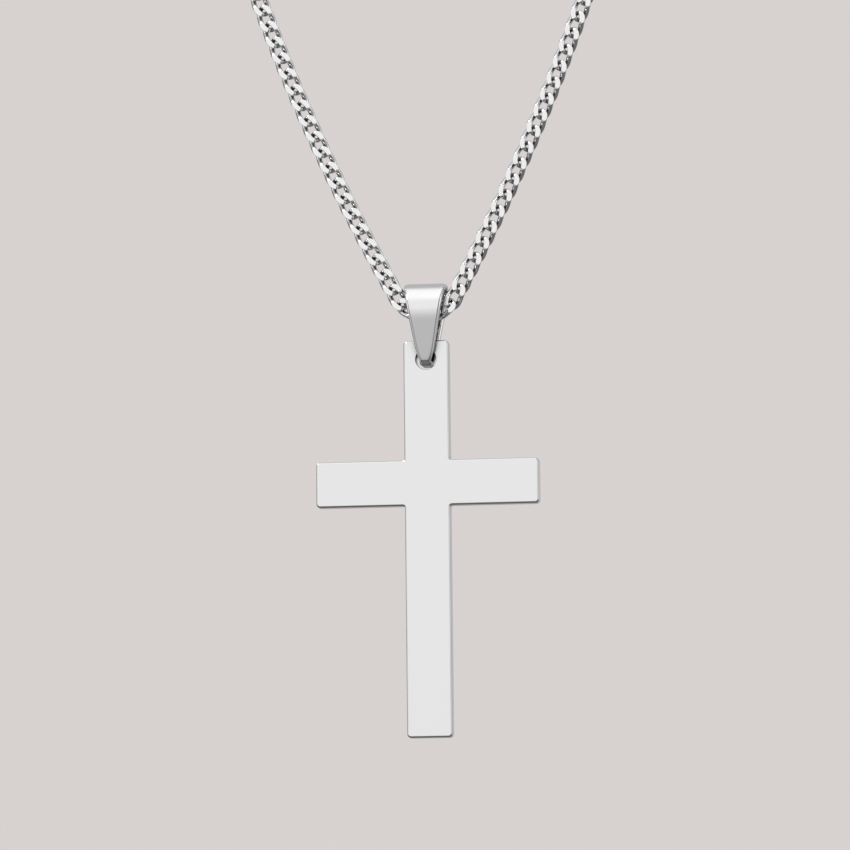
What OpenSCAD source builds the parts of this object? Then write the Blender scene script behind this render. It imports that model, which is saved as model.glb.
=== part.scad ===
// Flat cross pendant on a folded strap bail and a filed curb chain.
// The necklace hangs from the back of a neck. The origin is on the inside of
// the loop at its highest point, +Z is up, and the cross faces -Y.

/* [Cross] */
// Height of the cross
cross_h = 50; // [35:1:60]
// Width across the two arms
cross_w = 28.2; // [20:0.1:36]
// Width of each bar
bar_w = 5.75; // [4.6:0.05:8]
// Thickness of the plate
plate_t = 2; // [1.2:0.05:2.6]
// Depth of the arms' centre line below the top
arm_drop = 18; // [12:0.5:22]
// Rounding of the outer corners
outer_r = 0.45; // [0.1:0.05:1]
// Rounding of the inner corners
inner_r = 0.25; // [0.1:0.05:0.8]
// Bore of the hanging hole
hole_d = 2.6; // [2.4:0.05:3]
// Height of the metal left above the hole
bridge_h = 1.1; // [0.8:0.05:1.6]

/* [Bail] */
// Width of the strap at the top
bail_top_w = 5.35; // [4:0.05:5.6]
// Width of the strap at the level of the cross's top
bail_mid_w = 2.84; // [2:0.02:3]
// Width of the strap where it turns under
bail_end_w = 1.1; // [0.8:0.05:1.4]
// Thickness of the strap
strap_t = 0.8; // [0.5:0.05:0.9]
// Distance between the centres of the upper and lower bends
bail_span = 5.4; // [5:0.1:8]
// Rounding of the strap's upper corners
strap_corner_r = 0.35; // [0.1:0.05:0.6]

/* [Chain] */
// Length of the closed necklace
chain_length = 508; // [420:2:520]
// Distance between links, stretched a little so that the loop closes
link_pitch = 2.2; // [2.2:0.02:2.6]
// Width of a link
link_w = 2.27; // [2:0.01:2.4]
// Thickness of a link between its filed faces
filed_t = 1.24; // [1.1:0.01:1.3]
// Width of the wire, seen on the flat of a link
wire_w = 0.48; // [0.4:0.01:0.52]
// Thickness of the wire
wire_t = 0.44; // [0.36:0.01:0.48]
// Twist of each end of a link out of its flat
end_twist = 52; // [46:1:58]
// Length along a link over which each side bar slants
side_slant = 1; // [0.6:0.05:1.1]
// Radius of the chain's bend inside the bail
bail_bend_r = 4.2; // [4:0.1:8]
// Angle of each strand from upright where it leaves that bend
strand_angle = 28.8; // [24:0.1:34]
// Radius of the bowed strand above the bail
strand_r = 259; // [200:1:400]
// Length of the bowed strand
strand_bow = 38; // [20:1:60]

/* [Clasp] */
// Length of the clasp's barrel
barrel_l = 8; // [6:0.5:12]
// Diameter of the clasp's barrel
barrel_d = 3; // [2.7:0.1:4]

/* [Hidden] */
$fn = 64;
steel = [0.8, 0.8, 0.81];
bright_steel = [0.88, 0.88, 0.89];

// Play between the chain and the inside of the bail, and the clasp's barrel
chain_play = 0.15;
// Play between each face of the plate and the strap's lower bend
plate_play = 0.2;
// Free travel between two hooked links
link_slack = 0.52;
// Cutting shapes reach this far past what they cut
past = 1;

// Link sizes, measured from a link's centre
link_half = link_w / 2;
link_reach = (link_pitch + 2 * wire_w + link_slack) / 2;
slant_half = side_slant / 2;
crest_z = (filed_t - wire_t) / 2;
crest_y = crest_z / tan(end_twist);

// Loop sizes: the bowed strand turns from strand_angle to top_angle, a straight
// stretch follows, and an arch about the neck closes the loop at the top.
half_loop = chain_length / 2;
top_angle = strand_angle - strand_bow / strand_r * 180 / PI;
bend_run = bail_bend_r * (90 - strand_angle) * PI / 180;
arch_turn = (90 + top_angle) * PI / 180;
bow_x = bail_bend_r * cos(strand_angle) + strand_r * (cos(top_angle) - cos(strand_angle));
bow_z = bail_bend_r * (1 - sin(strand_angle)) + strand_r * (sin(strand_angle) - sin(top_angle));
spare_run = half_loop - bend_run - strand_bow;
arch_r = (bow_x + spare_run * sin(top_angle)) / (cos(top_angle) + arch_turn * sin(top_angle));
straight_run = spare_run - arch_r * arch_turn;
arch_z = bow_z + straight_run * cos(top_angle) + arch_r * sin(top_angle);
route_top = arch_z + arch_r;

// The clasp takes the last stretch on each side, and the links share the rest
clasp_half = barrel_l / 2 + chain_play + link_reach;
links_each_side = floor((half_loop - clasp_half) / link_pitch);
true_pitch = (half_loop - clasp_half) / links_each_side;

// Heights of the chain's lowest centre and of the line the bail swings about,
// which lies midway between the highest and lowest metal inside the bail.
chain_low = -link_half - route_top;
bend_edge = bail_bend_r - sqrt(pow(bail_bend_r - link_half, 2) - pow(bail_top_w / 2, 2));
swing_lift = (bend_edge - link_half) / 2;
swing_z = chain_low + swing_lift;

// Bail and cross, measured from the line that the bail swings about
eye_r = norm([swing_lift + link_half, filed_t / 2]) + chain_play;
fold_r = plate_t / 2 + plate_play;
bail_top = eye_r + strap_t;
bail_low = -bail_span - fold_r - strap_t;
hole_z = -bail_span - hole_d / 2;
cross_top = hole_z + hole_d / 2 + bridge_h;

// Place and heading along half the loop, measured up from the bottom of the
// chain's bend: [x, z, angle above level]
function route(s) =
    s < bend_run ? bend_at(s) :
    s < bend_run + strand_bow ? bow_at(s - bend_run) :
    s < bend_run + strand_bow + straight_run ? straight_at(s - bend_run - strand_bow) :
    arch_at(half_loop - s);
function bend_at(s) =
    let (a = s / bail_bend_r * 180 / PI)
    [bail_bend_r * sin(a), bail_bend_r * (1 - cos(a)), a];
function bow_at(s) =
    let (a = strand_angle - s / strand_r * 180 / PI)
    [bail_bend_r * cos(strand_angle) + strand_r * (cos(a) - cos(strand_angle)),
     bail_bend_r * (1 - sin(strand_angle)) + strand_r * (sin(strand_angle) - sin(a)),
     90 - a];
function straight_at(s) =
    [bow_x + s * sin(top_angle), bow_z + s * cos(top_angle), 90 - top_angle];
function arch_at(s) =
    let (a = s / arch_r * 180 / PI)
    [arch_r * sin(a), arch_z + arch_r * cos(a), 180 - a];

// A bar with rounded corners, centred on the origin
module bar(w, h) {
    for (x = [-1, 1], y = [-1, 1])
        translate([x * (w / 2 - outer_r), y * (h / 2 - outer_r)]) circle(r = outer_r);
    square([w, h - 2 * outer_r], center = true);
    square([w - 2 * outer_r, h], center = true);
}

// Fills the angle between two bars, leaving a small round
module inner_corner() {
    difference() {
        translate([-inner_r, -inner_r]) square(2 * inner_r);
        translate([inner_r, inner_r]) circle(r = inner_r);
    }
}

// Front view of the cross, with its top edge on the origin
module cross_outline() {
    translate([0, -cross_h / 2]) bar(bar_w, cross_h);
    translate([0, -arm_drop]) {
        bar(cross_w, bar_w);
        for (x = [0, 1], y = [0, 1])
            mirror([x, 0]) mirror([0, y]) translate([bar_w / 2, bar_w / 2]) inner_corner();
    }
}

module cross() {
    color(steel)
        translate([0, 0, swing_z + cross_top])
            rotate([90, 0, 0])
                difference() {
                    linear_extrude(plate_t, center = true) cross_outline();
                    translate([0, -bridge_h - hole_d / 2, 0])
                        cylinder(d = hole_d, h = plate_t + 2 * past, center = true);
                }
}

// The outside or the inside of the bail's side view: a wide upper bend on the
// origin, a narrow lower bend below it, and straight legs between the two
module drop_shape(top_r, low_r) {
    hull() {
        circle(r = top_r);
        translate([0, -bail_span]) circle(r = low_r);
    }
}

module strap_loop() {
    linear_extrude(2 * bail_top_w, center = true)
        difference() {
            drop_shape(eye_r + strap_t, fold_r + strap_t);
            drop_shape(eye_r, fold_r);
        }
}

// Front view of the strap: widest at the top, narrowing to the lower bend
module strap_front() {
    corner_x = bail_top_w / 2 - strap_corner_r;
    corner_y = bail_top - strap_corner_r;
    round_corner = [for (a = [0 : 22.5 : 90]) strap_corner_r * [sin(a), cos(a)]];
    right_side = concat(
        [for (c = round_corner) [corner_x + c[0], corner_y + c[1]]],
        [[bail_mid_w / 2, cross_top], [bail_end_w / 2, bail_low], [bail_end_w / 2, bail_low - past]]
    );
    left_side = [for (i = [1 : len(right_side)]) let (p = right_side[len(right_side) - i]) [-p[0], p[1]]];
    polygon(concat(right_side, left_side));
}

module bail() {
    color(bright_steel)
        translate([0, 0, swing_z])
            intersection() {
                rotate([90, 0, 90]) strap_loop();
                rotate([90, 0, 0])
                    linear_extrude(2 * (bail_top + past), center = true) strap_front();
            }
}

module oval(half_l, half_w) {
    for (s = [-1, 1])
        translate([s * (half_l - half_w), 0]) circle(r = half_w);
    square([2 * (half_l - half_w), 2 * half_w], center = true);
}

// A link seen from the front, drawn out far through its thickness
module oval_ring() {
    linear_extrude(2 * filed_t, center = true)
        difference() {
            oval(link_reach, link_half);
            oval(link_reach - wire_w, link_half - wire_w);
        }
}

// The space that one end of a link fills from start to its tip, on +X: twisted
// through the middle, and level where the crests are filed flat
module end_space(start) {
    far = 2 * link_reach;
    intersection() {
        translate([start, -far / 2, -filed_t / 2]) cube([far, far, filed_t]);
        rotate([-end_twist, 0, 0]) cube([2 * far, 2 * far, wire_t], center = true);
    }
    for (turn = [0, 180])
        rotate([turn, 0, 0])
            translate([start, crest_y, -filed_t / 2]) cube([far, far, wire_t]);
}

// The space that one slanting side of a link fills, on +Y
module side_space() {
    join = wire_t / 20;
    far = 2 * link_reach;
    intersection() {
        translate([-slant_half - join, link_half / 4, -filed_t / 2])
            cube([2 * (slant_half + join), link_half, filed_t]);
        rotate([0, atan(crest_z / slant_half), 0])
            cube([far, far, wire_t], center = true);
    }
}

// One link, along X with its filed faces towards +Z and -Z
module link() {
    intersection() {
        oval_ring();
        for (turn = [0, 180]) {
            rotate([0, turn, 0]) end_space(slant_half);
            rotate([turn, 0, 0]) side_space();
        }
    }
}

// Puts a link's flat into the plane of the loop, facing -Y
module on_route(place) {
    translate([place[0], 0, chain_low + place[1]])
        rotate([90, 0, 0])
            rotate([0, 0, place[2]]) children();
}

module strand(first) {
    for (i = [first : links_each_side])
        on_route(route(i * true_pitch)) link();
}

module chain_right() {
    color(bright_steel) strand(0);
}

module chain_left() {
    color(bright_steel) rotate([0, 0, 180]) strand(1);
}

// One eye of the clasp, on +X, shaped as a link's end so that the last link
// hooks in it, with its two arms running back into the barrel
module clasp_eye() {
    intersection() {
        oval_ring();
        end_space(link_half - link_reach);
    }
}

module clasp() {
    eye_x = clasp_half - true_pitch;
    color(steel)
        translate([0, 0, -link_half])
            rotate([90, 0, 0]) {
                rotate([0, 90, 0]) cylinder(d = barrel_d, h = barrel_l, center = true);
                for (turn = [0, 180])
                    rotate([0, 0, turn]) translate([eye_x, 0, 0]) clasp_eye();
            }
}

cross();
bail();
chain_left();
chain_right();
clasp();
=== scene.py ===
"""Cross pendant on a folded strap bail and a filed curb chain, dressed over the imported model.

Sizes repeat part.scad's, in millimetres, and become metres where a mesh is made. Roundings, the wire's
section and the strap's turns are finer than the part's and are this script's own. The floor, the key light
and the camera are placed in metres.
"""
import math

import bpy
import numpy as np
from mathutils import Matrix, Vector
from mathutils.geometry import tessellate_polygon


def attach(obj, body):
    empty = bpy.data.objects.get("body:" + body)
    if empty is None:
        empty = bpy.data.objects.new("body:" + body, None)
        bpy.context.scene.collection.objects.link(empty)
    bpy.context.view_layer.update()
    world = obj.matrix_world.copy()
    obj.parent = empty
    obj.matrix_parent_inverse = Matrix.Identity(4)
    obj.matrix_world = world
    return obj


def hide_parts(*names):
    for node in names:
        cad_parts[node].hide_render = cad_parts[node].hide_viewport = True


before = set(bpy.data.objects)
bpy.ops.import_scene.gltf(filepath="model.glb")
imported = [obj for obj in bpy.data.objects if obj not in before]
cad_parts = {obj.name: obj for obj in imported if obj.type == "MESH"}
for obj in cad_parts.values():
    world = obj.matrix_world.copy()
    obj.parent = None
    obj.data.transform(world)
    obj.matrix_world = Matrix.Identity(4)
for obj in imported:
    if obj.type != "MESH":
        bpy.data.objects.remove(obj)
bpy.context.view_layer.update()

MM = 0.001

# Cross
CROSS_H = 50.0
CROSS_W = 28.2
BAR_W = 5.75
PLATE_T = 2.0
ARM_DROP = 18.0
OUTER_R = 0.52
INNER_R = 0.25
HOLE_D = 2.6
BRIDGE_H = 1.1
EDGE_IN = 0.2
EDGE_DEPTH = 0.5
HOLE_EDGE_SHARE = 0.25
EDGE_HOLD = 0.03
EDGE_POINTS = 8
CORNER_POINTS = 9
HOLE_SIDES = 64
LEAST_AREA = 1e-6

# Bail
BAIL_TOP_W = 5.35
BAIL_MID_W = 2.84
BAIL_END_W = 1.1
STRAP_T = 0.8
BAIL_SPAN = 5.4
STRAP_CORNER_R = 0.35
STRAP_BEVEL = 0.38
LOW_TURN_R = 0.85
LAST_NARROWING = 0.85
LOW_FULLNESS = 0.12
LOW_DROP = 0.15
FIRST_LEAN = math.radians(11)
LEAN_ROUNDS = 20
# Tilt of the strap's outward direction in degrees, and the radius that its middle line bends by there
OPENING_BEND = ((-11, 14), (-6, 12), (-4, 4.8), (7, 4.4))
ROUND_TILT = 9
UPPER_STATIONS = 70
LEG_STATIONS = 16
TURN_STATIONS = 14
LOW_FLAT_SHARES = (0.97, 0.5, 0)
BEVEL_POINTS = 7
BEVEL_HOLD = 0.05

# Chain
CHAIN_LENGTH = 508.0
LINK_PITCH = 2.2
LINK_W = 2.27
FILED_T = 1.24
CAD_WIRE_W = 0.48
LINK_SLACK = 0.52
WIRE_R = 0.35
TIP_WIRE_R = 0.29
CREST = 0.47
FULLNESS = 0.03
BROAD_CREST = 0.13
BEND_R = 4.2
STRAND_ANGLE = math.radians(28.8)
STRAND_R = 259.0
STRAND_BOW = 38.0
CHAIN_PLAY = 0.15
PLATE_PLAY = 0.2

# Clasp
BARREL_L = 8.0
BARREL_D = 3.0
BARREL_ROUND = 0.5
BARREL_SIDES = 48
ROUND_STEPS = 8
SIDE_HOLD = 0.1
END_HOLD = 0.05
END_CENTRE_R = 0.2
GROOVE_HALF_W = 0.12
GROOVE_T = 0.07
# Shares of the groove's half width and of its depth, from its middle out
GROOVE_SHAPE = ((0, 1), (0.7, 1), (1, 0.4), (1.4, 0), (2, 0))
EYE_REACH = math.radians(106)
EYE_STATIONS = 30

# Places along the loop, as part.scad works them out
LINK_HALF = LINK_W / 2
LINK_REACH = (LINK_PITCH + 2 * CAD_WIRE_W + LINK_SLACK) / 2
HALF_LOOP = CHAIN_LENGTH / 2
TOP_ANGLE = STRAND_ANGLE - STRAND_BOW / STRAND_R
BEND_RUN = BEND_R * (math.pi / 2 - STRAND_ANGLE)
ARCH_TURN = math.pi / 2 + TOP_ANGLE
BOW_X = BEND_R * math.cos(STRAND_ANGLE) + STRAND_R * (math.cos(TOP_ANGLE) - math.cos(STRAND_ANGLE))
BOW_Z = BEND_R * (1 - math.sin(STRAND_ANGLE)) + STRAND_R * (math.sin(STRAND_ANGLE) - math.sin(TOP_ANGLE))
SPARE_RUN = HALF_LOOP - BEND_RUN - STRAND_BOW
ARCH_R = (BOW_X + SPARE_RUN * math.sin(TOP_ANGLE)) / (math.cos(TOP_ANGLE) + ARCH_TURN * math.sin(TOP_ANGLE))
STRAIGHT_RUN = SPARE_RUN - ARCH_R * ARCH_TURN
ARCH_Z = BOW_Z + STRAIGHT_RUN * math.cos(TOP_ANGLE) + ARCH_R * math.sin(TOP_ANGLE)
CLASP_HALF = BARREL_L / 2 + CHAIN_PLAY + LINK_REACH
LINKS_EACH_SIDE = math.floor((HALF_LOOP - CLASP_HALF) / LINK_PITCH)
TRUE_PITCH = (HALF_LOOP - CLASP_HALF) / LINKS_EACH_SIDE
CHAIN_LOW = -LINK_HALF - ARCH_Z - ARCH_R
BEND_EDGE = BEND_R - math.sqrt((BEND_R - LINK_HALF) ** 2 - (BAIL_TOP_W / 2) ** 2)
SWING_LIFT = (BEND_EDGE - LINK_HALF) / 2
SWING_Z = CHAIN_LOW + SWING_LIFT

# Heights from the line that the bail swings about
EYE_R = math.hypot(SWING_LIFT + LINK_HALF, FILED_T / 2) + CHAIN_PLAY
FOLD_R = PLATE_T / 2 + PLATE_PLAY
BAIL_TOP = EYE_R + STRAP_T
BAIL_LOW = -BAIL_SPAN - FOLD_R - STRAP_T
HOLE_Z = -BAIL_SPAN - HOLE_D / 2
CROSS_TOP = HOLE_Z + HOLE_D / 2 + BRIDGE_H


# Steel finishes

MOTTLE_DETAIL = 4
MOTTLE_SPAN = (0.3, 0.7)
SCRATCH_SIZE = 0.25
SCRATCH_DETAIL = 2
SCRATCH_STRETCH = (0.15, 1, 1)
SCRATCH_STRENGTH = 0.3
# Painted shade: how ambient occlusion darkens the base colour in crevices and between parts
PAINTED_SHADE_SAMPLES = 8
PAINTED_SHADE_FULL = 0.3
PAINTED_SHADE_TONE = 0.2


def steel(name, colour, rough, spread, mottle_size, scratch_depth, painted_shade_reach, painted_shade_clear):
    """A bare steel finish: roughness wanders by spread, and fine scratches break the highlights.

    Sizes are in millimetres. Painted shade: what neighbours within the given reach hide is darkened in the
    base colour, as shade falls in crevices and between parts, until the given share of its surroundings is
    open.
    """
    material = bpy.data.materials.new(name)
    material.use_nodes = True
    tree = material.node_tree
    shader = tree.nodes["Principled BSDF"]
    shader.inputs["Base Color"].default_value = (*colour, 1)
    shader.inputs["Metallic"].default_value = 1
    place = tree.nodes.new("ShaderNodeTexCoord")
    mottle = tree.nodes.new("ShaderNodeTexNoise")
    mottle.inputs["Scale"].default_value = 1 / (mottle_size * MM)
    mottle.inputs["Detail"].default_value = MOTTLE_DETAIL
    to_rough = tree.nodes.new("ShaderNodeMapRange")
    to_rough.inputs["From Min"].default_value = MOTTLE_SPAN[0]
    to_rough.inputs["From Max"].default_value = MOTTLE_SPAN[1]
    to_rough.inputs["To Min"].default_value = rough - spread
    to_rough.inputs["To Max"].default_value = rough + spread
    tree.links.new(place.outputs["Object"], mottle.inputs["Vector"])
    tree.links.new(mottle.outputs["Fac"], to_rough.inputs["Value"])
    tree.links.new(to_rough.outputs["Result"], shader.inputs["Roughness"])
    grain = tree.nodes.new("ShaderNodeTexNoise")
    grain.inputs["Scale"].default_value = 1 / (SCRATCH_SIZE * MM)
    grain.inputs["Detail"].default_value = SCRATCH_DETAIL
    stretch = tree.nodes.new("ShaderNodeMapping")
    stretch.inputs["Scale"].default_value = SCRATCH_STRETCH
    bump = tree.nodes.new("ShaderNodeBump")
    bump.inputs["Strength"].default_value = SCRATCH_STRENGTH
    bump.inputs["Distance"].default_value = scratch_depth * MM
    tree.links.new(place.outputs["Object"], stretch.inputs["Vector"])
    tree.links.new(stretch.outputs["Vector"], grain.inputs["Vector"])
    tree.links.new(grain.outputs["Fac"], bump.inputs["Height"])
    tree.links.new(bump.outputs["Normal"], shader.inputs["Normal"])
    # Painted shade: ambient occlusion darkens the base colour towards a shaded tone where neighbours crowd
    # the surface
    hidden = tree.nodes.new("ShaderNodeAmbientOcclusion")
    hidden.inputs["Distance"].default_value = painted_shade_reach * MM
    hidden.samples = PAINTED_SHADE_SAMPLES
    painted_shade_ramp = tree.nodes.new("ShaderNodeValToRGB")
    low, high = painted_shade_ramp.color_ramp.elements
    low.position, high.position = PAINTED_SHADE_FULL, painted_shade_clear
    low.color = (*(PAINTED_SHADE_TONE * c for c in colour), 1)
    high.color = (*colour, 1)
    tree.links.new(hidden.outputs["AO"], painted_shade_ramp.inputs["Fac"])
    tree.links.new(painted_shade_ramp.outputs["Color"], shader.inputs["Base Color"])
    return material


# Each steel paints shade into its base colour near close neighbours, over 2.4 mm on the cross and bail and
# 0.9 mm on the chain and clasp
CROSS_STEEL = steel(
    "cross_satin_steel", (0.89, 0.89, 0.895), rough=0.14, spread=0.02, mottle_size=6,
    scratch_depth=0.0003, painted_shade_reach=2.4, painted_shade_clear=0.8,
)
BAIL_STEEL = steel(
    "bail_polished_steel", (0.9, 0.9, 0.905), rough=0.13, spread=0.02, mottle_size=3,
    scratch_depth=0.0003, painted_shade_reach=2.4, painted_shade_clear=0.8,
)
CHAIN_STEEL = steel(
    "chain_polished_steel", (0.95, 0.95, 0.95), rough=0.19, spread=0.02, mottle_size=2,
    scratch_depth=0.0002, painted_shade_reach=0.9, painted_shade_clear=0.75,
)
CLASP_STEEL = steel(
    "clasp_polished_steel", (0.92, 0.92, 0.925), rough=0.16, spread=0.03, mottle_size=3,
    scratch_depth=0.0004, painted_shade_reach=0.9, painted_shade_clear=0.75,
)


# Shared mesh making

def add_mesh(name, points, faces, material, body, node, sharp=None):
    """One piece from points in millimetres. sharp marks the points whose shared edges stay crisp."""
    mesh = bpy.data.meshes.new(name)
    mesh.from_pydata((np.asarray(points) * MM).tolist(), [], faces)
    mesh.update(calc_edges=True)
    mesh.shade_smooth()
    if sharp is not None:
        ends = np.empty(2 * len(mesh.edges), dtype=np.int32)
        mesh.edges.foreach_get("vertices", ends)
        crisp = sharp(ends.reshape(-1, 2))
        flag = mesh.attributes.new("sharp_edge", "BOOLEAN", "EDGE")
        flag.data.foreach_set("value", crisp)
    mesh.materials.append(material)
    piece = bpy.data.objects.new(name, mesh)
    bpy.context.scene.collection.objects.link(piece)
    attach(piece, body)
    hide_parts(node)
    return piece


def grid_faces(rows, across, close_rows):
    """Quads over rows of points that are closed across, and closed along where close_rows."""
    last = rows if close_rows else rows - 1
    i, k = np.meshgrid(np.arange(last), np.arange(across), indexing="ij")
    j, m = (i + 1) % rows, (k + 1) % across
    quads = np.stack([i * across + k, i * across + m, j * across + m, j * across + k], axis=-1)
    return quads.reshape(-1, 4)


def facing_out(points, quads):
    """The same quads, turned over if they enclose their volume inside out."""
    a, b, c, d = (points[quads[:, n]] - points.mean(axis=0) for n in range(4))
    volume = np.einsum("ij,ij->", a, np.cross(b, c)) + np.einsum("ij,ij->", a, np.cross(c, d))
    return quads if volume > 0 else quads[:, ::-1]


def capped_tube(points, rows, across):
    """Faces of a closed tube over rows of points, with a flat cap on each end."""
    along = grid_faces(rows, across, False)
    quads = facing_out(points, along)
    ring = list(range(across))
    last = [n + (rows - 1) * across for n in ring]
    turned = quads is not along
    return quads.tolist() + [ring if turned else ring[::-1], last[::-1] if turned else last]


# Chain pieces

# A ring of the wire runs over the upper flat, down one side, over the lower flat and up the other side.
# Each flat has a corner, a middle and a corner.
SIDE_POINTS = 5
FLAT_POINTS = 3
HALF_SECTION = FLAT_POINTS + SIDE_POINTS
SECTION = 2 * HALF_SECTION
TOP_CORNERS = (0, 2)
LOW_CORNERS = (HALF_SECTION, HALF_SECTION + 2)
LEAST_FLAT = math.radians(13)
TIP_POWER = 4
STATIONS = 54
FINE_STEPS = 2001
TURN_WEIGHT = 0.6


def wire_line(t):
    """Centre line of a link's wire, and the direction along it."""
    a, b = LINK_REACH - TIP_WIRE_R, LINK_HALF - WIRE_R
    full = 1 - FULLNESS
    centre = np.stack([
        a * (np.cos(t) - FULLNESS * np.cos(3 * t)) / full,
        b * (np.sin(t) + FULLNESS * np.sin(3 * t)) / full,
        -CREST * (np.sin(2 * t) + BROAD_CREST * np.sin(6 * t)) / (1 - BROAD_CREST),
    ], axis=-1)
    along = np.stack([
        a * (-np.sin(t) + 3 * FULLNESS * np.sin(3 * t)) / full,
        b * (np.cos(t) + 3 * FULLNESS * np.cos(3 * t)) / full,
        -CREST * (2 * np.cos(2 * t) + 6 * BROAD_CREST * np.cos(6 * t)) / (1 - BROAD_CREST),
    ], axis=-1)
    return centre, along / np.linalg.norm(along, axis=-1, keepdims=True)


def even_turns(start, end, count, closed):
    """Places along the wire, closer together where it bends."""
    t = np.linspace(start, end, FINE_STEPS)
    centre, along = wire_line(t)
    step = np.linalg.norm(np.diff(centre, axis=0), axis=1)
    turn = np.linalg.norm(np.diff(along, axis=0), axis=1)
    run = np.concatenate([[0], np.cumsum(step + TURN_WEIGHT * turn)])
    marks = np.linspace(0, run[-1], count + 1 if closed else count)
    return np.interp(marks[:-1] if closed else marks, run, t)


def filed_wire(t):
    """Rings of points round a link's wire, filed flat on both faces, and which corners are crisp.

    Where the wire lies too low for the file, a flat shrinks to a narrow strip of the round wire.
    """
    centre, along = wire_line(t)
    up = np.array([0.0, 0.0, 1.0])
    out = up - along[:, 2:3] * along
    rise = np.linalg.norm(out, axis=1)
    out /= rise[:, None]
    side = np.cross(along, out)
    filed = FILED_T / 2
    radius = WIRE_R - (WIRE_R - TIP_WIRE_R) * np.cos(t) ** TIP_POWER
    half_flat = []
    for z in (centre[:, 2], -centre[:, 2]):
        reach = np.clip((filed - z) / (radius * rise), -1, 1)
        half_flat.append(np.arccos(reach))
    crisp = [flat > LEAST_FLAT for flat in half_flat]
    top, low = (np.maximum(flat, LEAST_FLAT) for flat in half_flat)
    share = np.arange(1, SIDE_POINTS + 1) / (SIDE_POINTS + 1)
    right = top[:, None] + share * (math.pi - low - top)[:, None]
    left = math.pi + low[:, None] + share * (math.pi - low - top)[:, None]
    angle = np.concatenate([
        np.stack([-top, 0 * top, top], axis=1), right,
        np.stack([math.pi - low, math.pi + 0 * low, math.pi + low], axis=1), left,
    ], axis=1)
    ring = centre[:, None] + radius[:, None, None] * (
        np.cos(angle)[..., None] * out[:, None] + np.sin(angle)[..., None] * side[:, None])
    corner = np.zeros((len(t), SECTION), dtype=bool)
    for is_flat, (before, after) in zip(crisp, (TOP_CORNERS, LOW_CORNERS)):
        ring[is_flat, before + 1] = (ring[is_flat, before] + ring[is_flat, after]) / 2
        corner[:, [before, after]] = is_flat[:, None]
    return ring, corner


def route(s):
    """Place and heading along half the loop, up from the bottom of the chain's bend."""
    if s < BEND_RUN:
        a = s / BEND_R
        return BEND_R * math.sin(a), BEND_R * (1 - math.cos(a)), a
    if s < BEND_RUN + STRAND_BOW:
        a = STRAND_ANGLE - (s - BEND_RUN) / STRAND_R
        x = BEND_R * math.cos(STRAND_ANGLE) + STRAND_R * (math.cos(a) - math.cos(STRAND_ANGLE))
        z = BEND_R * (1 - math.sin(STRAND_ANGLE)) + STRAND_R * (math.sin(STRAND_ANGLE) - math.sin(a))
        return x, z, math.pi / 2 - a
    if s < BEND_RUN + STRAND_BOW + STRAIGHT_RUN:
        run = s - BEND_RUN - STRAND_BOW
        return BOW_X + run * math.sin(TOP_ANGLE), BOW_Z + run * math.cos(TOP_ANGLE), math.pi / 2 - TOP_ANGLE
    a = (HALF_LOOP - s) / ARCH_R
    return ARCH_R * math.sin(a), ARCH_Z + ARCH_R * math.cos(a), math.pi - a


def in_loop(points, x, z, heading):
    """Turns points of a link's own frame into the plane of the loop, its filed face towards -Y."""
    c, s = math.cos(heading), math.sin(heading)
    return np.stack([
        x + points[..., 0] * c - points[..., 1] * s,
        -points[..., 2],
        z + points[..., 0] * s + points[..., 1] * c,
    ], axis=-1)


def crisp_along(corner):
    """Edges that run along the wire between two crisp corners."""
    rows, across = corner.shape
    flags = corner.ravel()

    def mark(ends):
        local = ends % (rows * across)
        same_line = (local[:, 0] % across) == (local[:, 1] % across)
        return same_line & flags[local[:, 0]] & flags[local[:, 1]]

    return mark


def add_strand(name, node, first, half_turn):
    """One half of the chain, from link number first up to the clasp."""
    ring, corner = filed_wire(even_turns(0, 2 * math.pi, STATIONS, True))
    link = ring.reshape(-1, 3)
    quads = facing_out(link, grid_faces(STATIONS, SECTION, True))
    placed, faces = [], []
    for n, i in enumerate(range(first, LINKS_EACH_SIDE + 1)):
        x, z, heading = route(i * TRUE_PITCH)
        placed.append(in_loop(link, x, CHAIN_LOW + z, heading))
        faces.append(quads + n * len(link))
    points = np.concatenate(placed)
    if half_turn:
        points[:, :2] *= -1
    faces = np.concatenate(faces).tolist()
    add_mesh(name, points, faces, CHAIN_STEEL, "necklace", node, crisp_along(corner))


add_strand("chain_left_links", "chain_left", 1, True)
add_strand("chain_right_links", "chain_right", 0, False)


# Clasp piece

def barrel():
    """A plain barrel along X with rounded ends and one fine groove where its halves meet."""
    half, radius = BARREL_L / 2, BARREL_D / 2
    side = [(GROOVE_HALF_W * along, radius - GROOVE_T * down) for along, down in GROOVE_SHAPE]
    side.append((half - BARREL_ROUND - SIDE_HOLD, radius))
    for n in range(ROUND_STEPS + 1):
        a = n / ROUND_STEPS * math.pi / 2
        x = half - BARREL_ROUND + BARREL_ROUND * math.sin(a)
        side.append((x, radius - BARREL_ROUND + BARREL_ROUND * math.cos(a)))
    side += [(half, radius - BARREL_ROUND - END_HOLD), (half, END_CENTRE_R)]
    profile = [(-x, r) for x, r in reversed(side[1:])] + side
    turns = np.linspace(0, 2 * math.pi, BARREL_SIDES, endpoint=False)
    rings = [[(x, r * math.cos(a), r * math.sin(a)) for a in turns] for x, r in profile]
    points = np.array(rings).reshape(-1, 3)
    return in_loop(points, 0, -LINK_HALF, 0), capped_tube(points, len(profile), len(turns))


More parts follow.
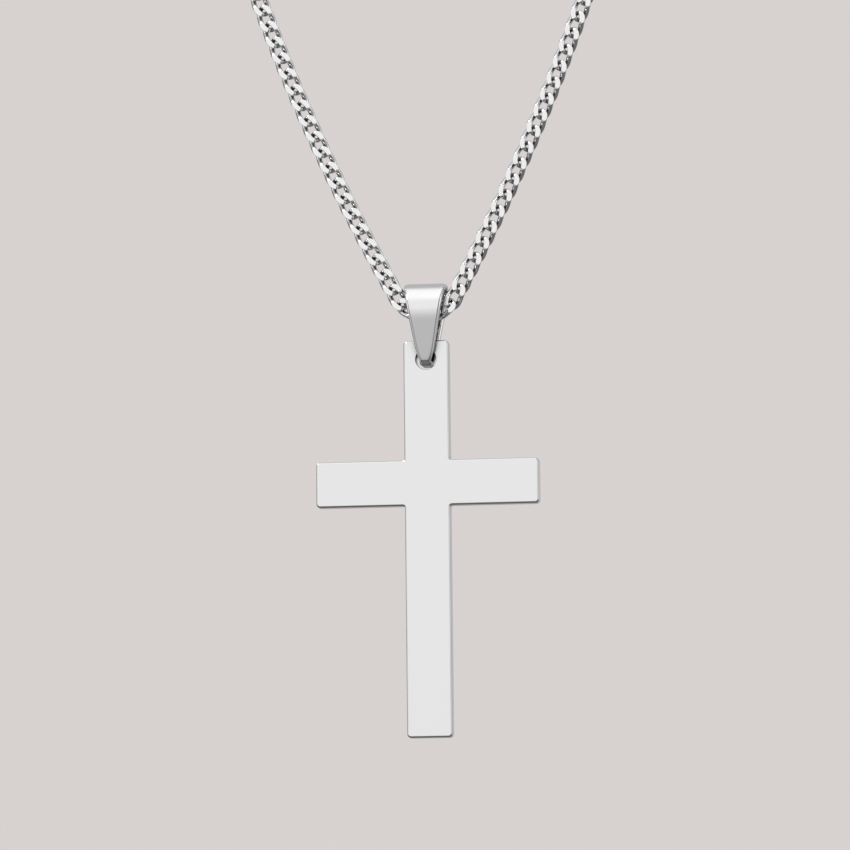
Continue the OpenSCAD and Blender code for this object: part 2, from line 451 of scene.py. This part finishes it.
def clasp_eye(half_turn):
    """The open half of a link that comes out of one end of the barrel, in line with the chain."""
    ring, _ = filed_wire(even_turns(math.pi - EYE_REACH, math.pi + EYE_REACH, EYE_STATIONS, False))
    eye = ring.reshape(-1, 3)
    x, z, heading = route(HALF_LOOP - CLASP_HALF + TRUE_PITCH)
    points = in_loop(eye, x, CHAIN_LOW + z, heading)
    if half_turn:
        points[:, :2] *= -1
    return points, capped_tube(eye, EYE_STATIONS, SECTION)


def add_clasp():
    """The barrel and its two eyes, closed, as one piece."""
    points, faces = barrel()
    for half_turn in (False, True):
        eye, eye_faces = clasp_eye(half_turn)
        faces += [[n + len(points) for n in face] for face in eye_faces]
        points = np.concatenate([points, eye])
    add_mesh("clasp_barrel", points, faces, CLASP_STEEL, "necklace", "clasp")


add_clasp()


# Bail piece

def strap_half_width(z):
    """Half width of the strap at a height above the swing line, as part.scad's strap_front."""
    corner_z = BAIL_TOP - STRAP_CORNER_R
    if z > corner_z:
        reach = math.sqrt(max(STRAP_CORNER_R ** 2 - (z - corner_z) ** 2, 0))
        return BAIL_TOP_W / 2 - STRAP_CORNER_R + reach
    if z > CROSS_TOP:
        share = (corner_z - z) / (corner_z - CROSS_TOP)
        return (BAIL_TOP_W + (BAIL_MID_W - BAIL_TOP_W) * share) / 2
    share = min((CROSS_TOP - z) / (CROSS_TOP - BAIL_LOW), LAST_NARROWING)
    return (BAIL_MID_W + (BAIL_END_W - BAIL_MID_W) * share) / 2 + LOW_FULLNESS * math.sin(math.pi * share)


def strap_path():
    """Stations round the folded strap's middle line: place and outward direction in Y and Z.

    The upper bend opens out into the legs, and the lower one is flat between two tighter turns. How far the
    legs lean depends on where the upper bend ends, which depends on their lean, so it is settled in rounds.
    """
    lean = FIRST_LEAN
    top_r, low_r = EYE_R + STRAP_T / 2, LOW_TURN_R - STRAP_T / 2
    low_y, low_z = FOLD_R + STRAP_T - LOW_TURN_R, BAIL_LOW - LOW_DROP + LOW_TURN_R
    bend_tilt, bend_r = zip(*OPENING_BEND, (ROUND_TILT, top_r))
    for _ in range(LEAN_ROUNDS):
        tilts = np.linspace(math.pi / 2, -lean, UPPER_STATIONS)
        middle = (tilts[1:] + tilts[:-1]) / 2
        radius = np.interp(middle, np.radians(bend_tilt), bend_r)
        y = np.concatenate([[0], np.cumsum(radius * -np.diff(tilts) * np.sin(middle))])
        z = top_r - np.concatenate([[0], np.cumsum(radius * -np.diff(tilts) * np.cos(middle))])
        end_y, end_z = low_y + low_r * math.cos(lean), low_z - low_r * math.sin(lean)
        lean = math.atan((y[-1] - end_y) / (z[-1] - end_z))
    half = [(y[n], z[n], math.cos(a), math.sin(a)) for n, a in enumerate(tilts)]
    for share in np.linspace(0, 1, LEG_STATIONS)[1:-1]:
        half.append((y[-1] + (end_y - y[-1]) * share, z[-1] + (end_z - z[-1]) * share,
                     math.cos(lean), -math.sin(lean)))
    for a in np.linspace(-lean, -math.pi / 2, TURN_STATIONS):
        half.append((low_y + low_r * math.cos(a), low_z + low_r * math.sin(a), math.cos(a), math.sin(a)))
    for share in LOW_FLAT_SHARES:
        half.append((low_y * share, low_z - low_r, 0, -1))
    return half + [(-y, z, -out_y, out_z) for y, z, out_y, out_z in reversed(half[1:-1])]


def add_bail():
    """The strap, as one section with rounded edges taken round its path and narrowed by height."""
    section = []
    for side, face in ((1, 1), (-1, 1), (-1, -1), (1, -1)):
        arc = []
        for a in np.linspace(0, math.pi / 2, BEVEL_POINTS):
            off = STRAP_T / 2 - STRAP_BEVEL + STRAP_BEVEL * math.sin(a)
            arc.append((side, STRAP_BEVEL * (1 - math.cos(a)), face * off))
        arc.append((side, STRAP_BEVEL + BEVEL_HOLD, face * STRAP_T / 2))
        section += arc if side * face > 0 else arc[::-1]
    points = []
    path = strap_path()
    for y, z, out_y, out_z in path:
        for side, inset, off in section:
            half_w = strap_half_width(z + off * out_z)
            points.append((side * (half_w - inset), y + off * out_y, z + off * out_z))
    points = np.array(points)
    quads = facing_out(points, grid_faces(len(path), len(section), True))
    points[:, 2] += SWING_Z
    add_mesh("bail_strap", points, quads.tolist(), BAIL_STEEL, "bail", "bail")


add_bail()


# Cross piece

def cross_outline(inset):
    """Front outline of the cross, its edge drawn in by inset, with the top on zero."""
    outer, inner = OUTER_R - inset, INNER_R + inset
    half, arm = BAR_W / 2, CROSS_W / 2
    high, low = -ARM_DROP + half, -ARM_DROP - half
    corners = [
        (half - OUTER_R, -OUTER_R, 90, 0, outer),
        (half + INNER_R, high + INNER_R, 180, 270, inner),
        (arm - OUTER_R, high - OUTER_R, 90, 0, outer),
        (arm - OUTER_R, low + OUTER_R, 0, -90, outer),
        (half + INNER_R, low - INNER_R, 90, 180, inner),
        (half - OUTER_R, -CROSS_H + OUTER_R, 0, -90, outer),
    ]
    right = []
    for x, z, start, end, radius in corners:
        for a in np.radians(np.linspace(start, end, CORNER_POINTS)):
            right.append((x + radius * math.cos(a), z + radius * math.sin(a)))
    return right + [(-x, z) for x, z in reversed(right)]


def hole_outline(inset):
    """Outline of the hole, its finer edge widened by a share of inset."""
    radius = HOLE_D / 2 + inset * HOLE_EDGE_SHARE
    return [(radius * math.cos(a), -BRIDGE_H - HOLE_D / 2 + radius * math.sin(a))
            for a in np.linspace(0, 2 * math.pi, HOLE_SIDES, endpoint=False)]


def edge_profile():
    """Insets and depths from the front face to the back, over both rounded edges."""
    half = PLATE_T / 2
    front = [(EDGE_IN + EDGE_HOLD, -half)]
    for a in np.linspace(0, math.pi / 2, EDGE_POINTS):
        front.append((EDGE_IN * (1 - math.sin(a)), -half + EDGE_DEPTH * (1 - math.cos(a))))
    front.append((0, -half + EDGE_DEPTH + EDGE_HOLD))
    return front + [(inset, -y) for inset, y in reversed(front)]


def add_cross():
    """The plate: walls round both outlines, and triangles between them on the front and the back."""
    profile = edge_profile()
    points, faces = [], []
    caps = ([], [])
    for outline in (cross_outline, hole_outline):
        base = len(points)
        for inset, y in profile:
            ring = outline(inset)
            points += [(x, y, z) for x, z in ring]
        across = len(outline(0))
        quads = grid_faces(len(profile), across, False) + base
        if outline is hole_outline:
            quads = quads[:, ::-1]
        faces += quads.tolist()
        for cap, row in ((0, 0), (1, len(profile) - 1)):
            caps[cap].append(list(range(base + row * across, base + (row + 1) * across)))
    for cap, want in ((0, -1), (1, 1)):
        loops = [[Vector((points[n][0], points[n][2], 0)) for n in loop] for loop in caps[cap]]
        order = caps[cap][0] + caps[cap][1]
        for triangle in tessellate_polygon(loops):
            a, b, c = (order[n] for n in triangle)
            normal = (Vector(points[b]) - Vector(points[a])).cross(Vector(points[c]) - Vector(points[a]))
            if normal.length > LEAST_AREA:
                faces.append([a, b, c] if normal.y * want > 0 else [a, c, b])
    points = np.array(points)
    points[:, 2] += SWING_Z + CROSS_TOP
    add_mesh("cross_plate", points, faces, CROSS_STEEL, "cross", "cross")


add_cross()


# Floor, light and camera

BACKDROP = (0.683, 0.644, 0.636)
FLOOR_Z = -0.5
FLOOR_REACH = 4.0
FLOOR_COLOUR = (0.79, 0.747, 0.736)
FLOOR_ROUGHNESS = 0.9


def add_floor():
    """A plain paper floor far below, which the steel doesn't mirror."""
    mesh = bpy.data.meshes.new("floor")
    sides = ((-1, -1), (1, -1), (1, 1), (-1, 1))
    corners = [(x * FLOOR_REACH, y * FLOOR_REACH, FLOOR_Z) for x, y in sides]
    mesh.from_pydata(corners, [], [[0, 1, 2, 3]])
    paper = bpy.data.materials.new("floor_paper")
    paper.use_nodes = True
    shader = paper.node_tree.nodes["Principled BSDF"]
    shader.inputs["Base Color"].default_value = (*FLOOR_COLOUR, 1)
    shader.inputs["Roughness"].default_value = FLOOR_ROUGHNESS
    mesh.materials.append(paper)
    floor = bpy.data.objects.new("floor", mesh)
    bpy.context.scene.collection.objects.link(floor)
    floor.visible_glossy = False


# The studio's brightness round the horizon, by azimuth in degrees: 0 is the front and 90 the right
AROUND = (
    (-180, 0.52), (-168, 0.5), (-152, 0.3), (-140, 0.1), (-108, 0.06), (-100, 0.9),
    (-52, 0.95), (-46, 0.1), (-39, 0.1), (-30, 0.6), (-22, 0.88), (-16, 0.9),
    (10, 0.9), (16, 0.8), (22, 0.06), (44, 0.05), (54, 1.0), (94, 1.0),
    (104, 0.44), (128, 0.42), (144, 0.5), (168, 0.5), (180, 0.52),
)
# How that brightness falls off below the horizon, by the sine of the elevation
BELOW = (
    (-1.0, 0.2), (-0.7, 0.16), (-0.45, 0.16), (-0.36, 0.46), (-0.2, 0.54),
    (-0.09, 0.8), (0.0, 0.94), (0.08, 1.0), (1.0, 1.0),
)
OVERHEAD = 1.07
OVERHEAD_LEAN = math.radians(24)
HIGH_LEVEL = 0.5
LOW_LEVEL = 0.9
LOW_EVENNESS = 0.45
SOFT_LEVEL = 0.8
# Where one brightness gives way to the next, by how far a direction points up, back, aside or to the panel
LOW_BLEND = (-0.2, -0.13)
HIGH_BLEND = (0.25, 0.55)
BACK_BLEND = (-0.1, 0.1)
ASIDE_BLEND = (0.2, 0.5)
PANEL_BLEND = (0.7, 1.0)


def ramp(tree, stops, low, high):
    """A grey ramp node over stops of (value, brightness), for values from low to high.

    The points get their brightness after they are all in place, because moving one can change
    their order.
    """
    node = tree.nodes.new("ShaderNodeValToRGB")
    points = node.color_ramp.elements
    while len(points) < len(stops):
        points.new(0.5)
    for point, (value, _) in zip(points, stops):
        point.position = (value - low) / (high - low)
    for point, (_, grey) in zip(points, stops):
        point.color = (grey, grey, grey, 1)
    return node


def add_world():
    """Reflections see the studio, the camera sees a plain backdrop, and all else a soft even light."""
    world = bpy.data.worlds.new("studio")
    bpy.context.scene.world = world
    world.use_nodes = True
    tree = world.node_tree
    tree.nodes.clear()

    def math_node(operation, a, b=None):
        node = tree.nodes.new("ShaderNodeMath")
        node.operation = operation
        for socket, value in zip(node.inputs, (a, b)):
            if isinstance(value, (int, float)):
                socket.default_value = value
            elif value is not None:
                tree.links.new(value, socket)
        return node.outputs["Value"]

    def step(value, low, high):
        node = tree.nodes.new("ShaderNodeMapRange")
        node.interpolation_type = "SMOOTHSTEP"
        node.inputs["From Min"].default_value = low
        node.inputs["From Max"].default_value = high
        tree.links.new(value, node.inputs["Value"])
        return node.outputs["Result"]

    def mix(share, one, other):
        return math_node("ADD", math_node("MULTIPLY", one, math_node("SUBTRACT", 1, share)),
                         math_node("MULTIPLY", share, other))

    direction = tree.nodes.new("ShaderNodeTexCoord").outputs["Generated"]
    split = tree.nodes.new("ShaderNodeSeparateXYZ")
    tree.links.new(direction, split.inputs["Vector"])
    x, y, z = split.outputs
    azimuth = math_node("ARCTAN2", x, math_node("MULTIPLY", y, -1))
    around = ramp(tree, AROUND, -180, 180)
    tree.links.new(math_node("ADD", math_node("DIVIDE", azimuth, 2 * math.pi), 0.5), around.inputs["Fac"])
    below = ramp(tree, BELOW, -1, 1)
    tree.links.new(math_node("ADD", math_node("MULTIPLY", z, 0.5), 0.5), below.inputs["Fac"])
    above = math_node("SUBTRACT", math_node("MULTIPLY", z, math.cos(OVERHEAD_LEAN)),
                      math_node("MULTIPLY", y, math.sin(OVERHEAD_LEAN)))
    milder = mix(LOW_EVENNESS, around.outputs["Color"], LOW_LEVEL)
    near_level = mix(step(z, *LOW_BLEND), milder, around.outputs["Color"])
    level = math_node("MULTIPLY", near_level, below.outputs["Color"])
    aside = step(math_node("ABSOLUTE", x), *ASIDE_BLEND)
    behind = math_node("MAXIMUM", step(y, *BACK_BLEND), aside)
    high = math_node("MULTIPLY", step(z, *HIGH_BLEND), behind)
    panel = math_node("MULTIPLY", step(above, *PANEL_BLEND), math_node("SUBTRACT", 1, aside))
    studio = mix(panel, mix(high, level, HIGH_LEVEL), OVERHEAD)

    path = tree.nodes.new("ShaderNodeLightPath")
    seen = tree.nodes.new("ShaderNodeBackground")
    seen.inputs["Color"].default_value = (*BACKDROP, 1)
    mirrored = tree.nodes.new("ShaderNodeBackground")
    tree.links.new(studio, mirrored.inputs["Strength"])
    mirrored.inputs["Color"].default_value = (1, 1, 1, 1)
    soft = tree.nodes.new("ShaderNodeBackground")
    soft.inputs["Strength"].default_value = SOFT_LEVEL
    soft.inputs["Color"].default_value = (1, 1, 1, 1)
    pick_soft = tree.nodes.new("ShaderNodeMixShader")
    tree.links.new(path.outputs["Is Glossy Ray"], pick_soft.inputs["Fac"])
    tree.links.new(soft.outputs[0], pick_soft.inputs[1])
    tree.links.new(mirrored.outputs[0], pick_soft.inputs[2])
    pick_seen = tree.nodes.new("ShaderNodeMixShader")
    tree.links.new(path.outputs["Is Camera Ray"], pick_seen.inputs["Fac"])
    tree.links.new(pick_soft.outputs[0], pick_seen.inputs[1])
    tree.links.new(seen.outputs[0], pick_seen.inputs[2])
    out = tree.nodes.new("ShaderNodeOutputWorld")
    tree.links.new(pick_seen.outputs[0], out.inputs["Surface"])


KEY_PLACE = Vector((-0.7, -0.9, 0.8))
KEY_AIM = Vector((0, 0, -0.15))
KEY_ACROSS = 0.6
KEY_POWER = 9


def add_key_light():
    light = bpy.data.lights.new("key", "AREA")
    light.shape = "DISK"
    light.size = KEY_ACROSS
    light.energy = KEY_POWER
    lamp = bpy.data.objects.new("key", light)
    lamp.location = KEY_PLACE
    lamp.rotation_euler = (KEY_AIM - KEY_PLACE).to_track_quat("-Z", "Y").to_euler()
    bpy.context.scene.collection.objects.link(lamp)


CAMERA_AIM = Vector((-0.00032, 0, -0.22372))
CAMERA_AZIMUTH = math.radians(7.5)
CAMERA_ELEVATION = math.radians(-7)
CAMERA_ROLL = math.radians(-0.6)
CAMERA_DISTANCE = 0.75
FRAME_ACROSS = 0.1068
SENSOR_MM = 36
CLIP_START = 0.05
CLIP_END = 20


def add_camera():
    back = Vector((
        math.sin(CAMERA_AZIMUTH) * math.cos(CAMERA_ELEVATION),
        -math.cos(CAMERA_AZIMUTH) * math.cos(CAMERA_ELEVATION),
        math.sin(CAMERA_ELEVATION),
    ))
    data = bpy.data.cameras.new("camera")
    data.sensor_width = SENSOR_MM
    data.lens = data.sensor_width * CAMERA_DISTANCE / FRAME_ACROSS
    data.clip_start = CLIP_START
    data.clip_end = CLIP_END
    camera = bpy.data.objects.new("camera", data)
    turn = (-back).to_track_quat("-Z", "Y").to_matrix().to_4x4()
    roll = Matrix.Rotation(CAMERA_ROLL, 4, "Z")
    camera.matrix_world = Matrix.Translation(CAMERA_AIM + back * CAMERA_DISTANCE) @ turn @ roll
    bpy.context.scene.collection.objects.link(camera)
    bpy.context.scene.camera = camera


add_floor()
add_world()
add_key_light()
add_camera()
bpy.context.scene.view_settings.view_transform = "Standard"
bpy.context.scene.view_settings.look = "None"
